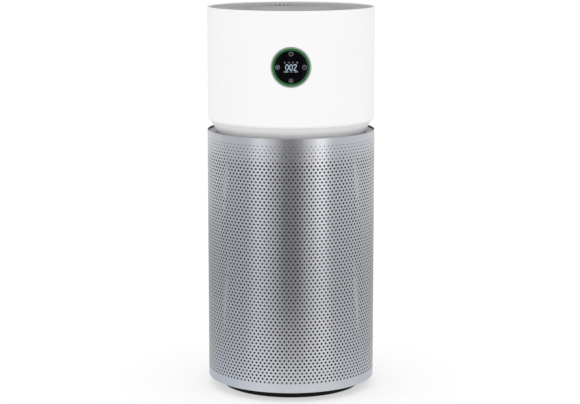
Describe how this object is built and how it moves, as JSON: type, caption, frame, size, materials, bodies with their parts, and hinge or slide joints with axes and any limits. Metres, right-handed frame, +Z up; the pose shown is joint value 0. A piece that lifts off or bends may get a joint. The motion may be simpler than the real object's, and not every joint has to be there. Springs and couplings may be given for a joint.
{
  "type": "air purifier",
  "caption": "Round tower air purifier: perforated metal drum with a rear filter door, white head with a round lit display, and a slotted outlet in the top.",
  "frame": {"origin": "on the floor, below the middle of the round body", "axes": "+Z up along the drum, -Y towards the display at the front, +Y towards the filter door at the rear"},
  "size_m": [0.304, 0.3039, 0.695],
  "materials": {
    "foot_rubber": "matt moulded rubber",
    "base_black": "fine textured black",
    "zinc_steel": "zinc plated",
    "inner_grey": "moulded mid grey",
    "silver_sheet": "bead blasted and anodised",
    "inlet_black": "fine matt",
    "pin_brass": "plain",
    "circuit_board": "solder mask",
    "circuit_parts": "moulded",
    "silver_plastic": "satin silver paint",
    "neck_grey": "fine matt light grey",
    "nylon_black": "plain moulded",
    "spring_steel": "drawn wire",
    "filter_cap": "moulded light grey",
    "filter_paper": "soft fibrous white",
    "carbon_mesh": "coarse black granule mesh",
    "prefilter_net": "woven net",
    "seal_foam": "closed cell foam",
    "strap_web": "woven tape",
    "duct_grey": "plain moulded",
    "impeller_plastic": "glass filled",
    "hub_brass": "turned",
    "shaft_steel": "ground",
    "magnet_iron": "plated magnet",
    "motor_alloy": "cast and machined",
    "coil_copper": "enamelled winding",
    "head_white": "fine satin white",
    "lid_grey": "satin mid grey",
    "sensor_black": "moulded",
    "bezel_grey": "satin",
    "ring_green": "lit diffuser",
    "glass_black": "polished black glass",
    "digit_light": "lit",
    "icon_light": "dimly lit"
  },
  "bodies": {
    "case": {"rubber_foot_ring": "foot_rubber", "base_plate": "base_black", "base_screws": "zinc_steel", "bottom_tray": "inner_grey", "rear_skirt": "silver_sheet", "filter_deck": "inner_grey", "mains_inlet": "inlet_black", "inlet_pins": "pin_brass", "power_board": "circuit_board", "power_parts": "circuit_parts", "front_sheet": "silver_sheet", "frame_posts": "inner_grey", "frame_hoops": "inner_grey", "sheet_top_ring": "silver_plastic", "neck_skirt": "neck_grey", "fan_deck": "inner_grey", "fan_casing": "duct_grey", "fan_inlet_ring": "duct_grey", "motor_housing": "motor_alloy", "motor_bearings": "shaft_steel", "motor_stator": "coil_copper", "motor_bracket": "nylon_black", "motor_screws": "zinc_steel", "stator_vanes": "duct_grey", "top_housing": "head_white", "outlet_grille": "lid_grey", "grille_cap": "lid_grey", "sensor_vent": "head_white", "dust_sensor": "sensor_black", "display_bezel": "bezel_grey", "light_ring": "ring_green", "display_glass": "glass_black", "display_digits": "digit_light", "touch_icons": "icon_light", "display_board": "circuit_board", "main_board": "circuit_board", "board_parts": "circuit_parts"},
    "door": {"door_sheet": "silver_sheet", "door_stiles": "inner_grey", "door_ribs": "inner_grey", "latch_guide": "inner_grey", "latch_spring": "spring_steel"},
    "button": {"latch_button": "silver_plastic"},
    "bolt": {"latch_bolt": "nylon_black"},
    "filter": {"filter_bottom_cap": "filter_cap", "filter_top_cap": "filter_cap", "filter_pleats": "filter_paper", "carbon_core": "carbon_mesh", "prefilter_mesh": "prefilter_net", "filter_seal": "seal_foam", "pull_strap": "strap_web"},
    "rotor": {"impeller": "impeller_plastic", "rotor_hub": "hub_brass", "motor_shaft": "shaft_steel", "impeller_nut": "zinc_steel", "motor_rotor": "magnet_iron"}
  },
  "joints": [
    {"name": "door_slide", "type": "slide", "parent": "case", "child": "door", "axis": [0, 1, 0], "range_m": [0, 0.6]},
    {"name": "filter_slide", "type": "slide", "parent": "case", "child": "filter", "axis": [0, 1, 0], "range_m": [0, 0.3]},
    {"name": "latch_press", "type": "slide", "parent": "door", "child": "button", "axis": [0, -1, 0], "range_m": [0, 0.003], "stiffness_N_per_m": 600},
    {"name": "latch_drop", "type": "slide", "parent": "door", "child": "bolt", "axis": [0, 0, -1], "range_m": [0, 0.003], "deforming": ["latch_spring"]},
    {"name": "fan_spin", "type": "hinge", "parent": "case", "child": "rotor", "pos_m": [0, 0, 0.55], "axis": [0, 0, 1], "continuous": true}
  ],
  "couplings": [
    {"joint": "filter_slide", "follows": "door_slide", "ratio": 0.5},
    {"joint": "latch_drop", "follows": "latch_press", "ratio": 1}
  ]
}
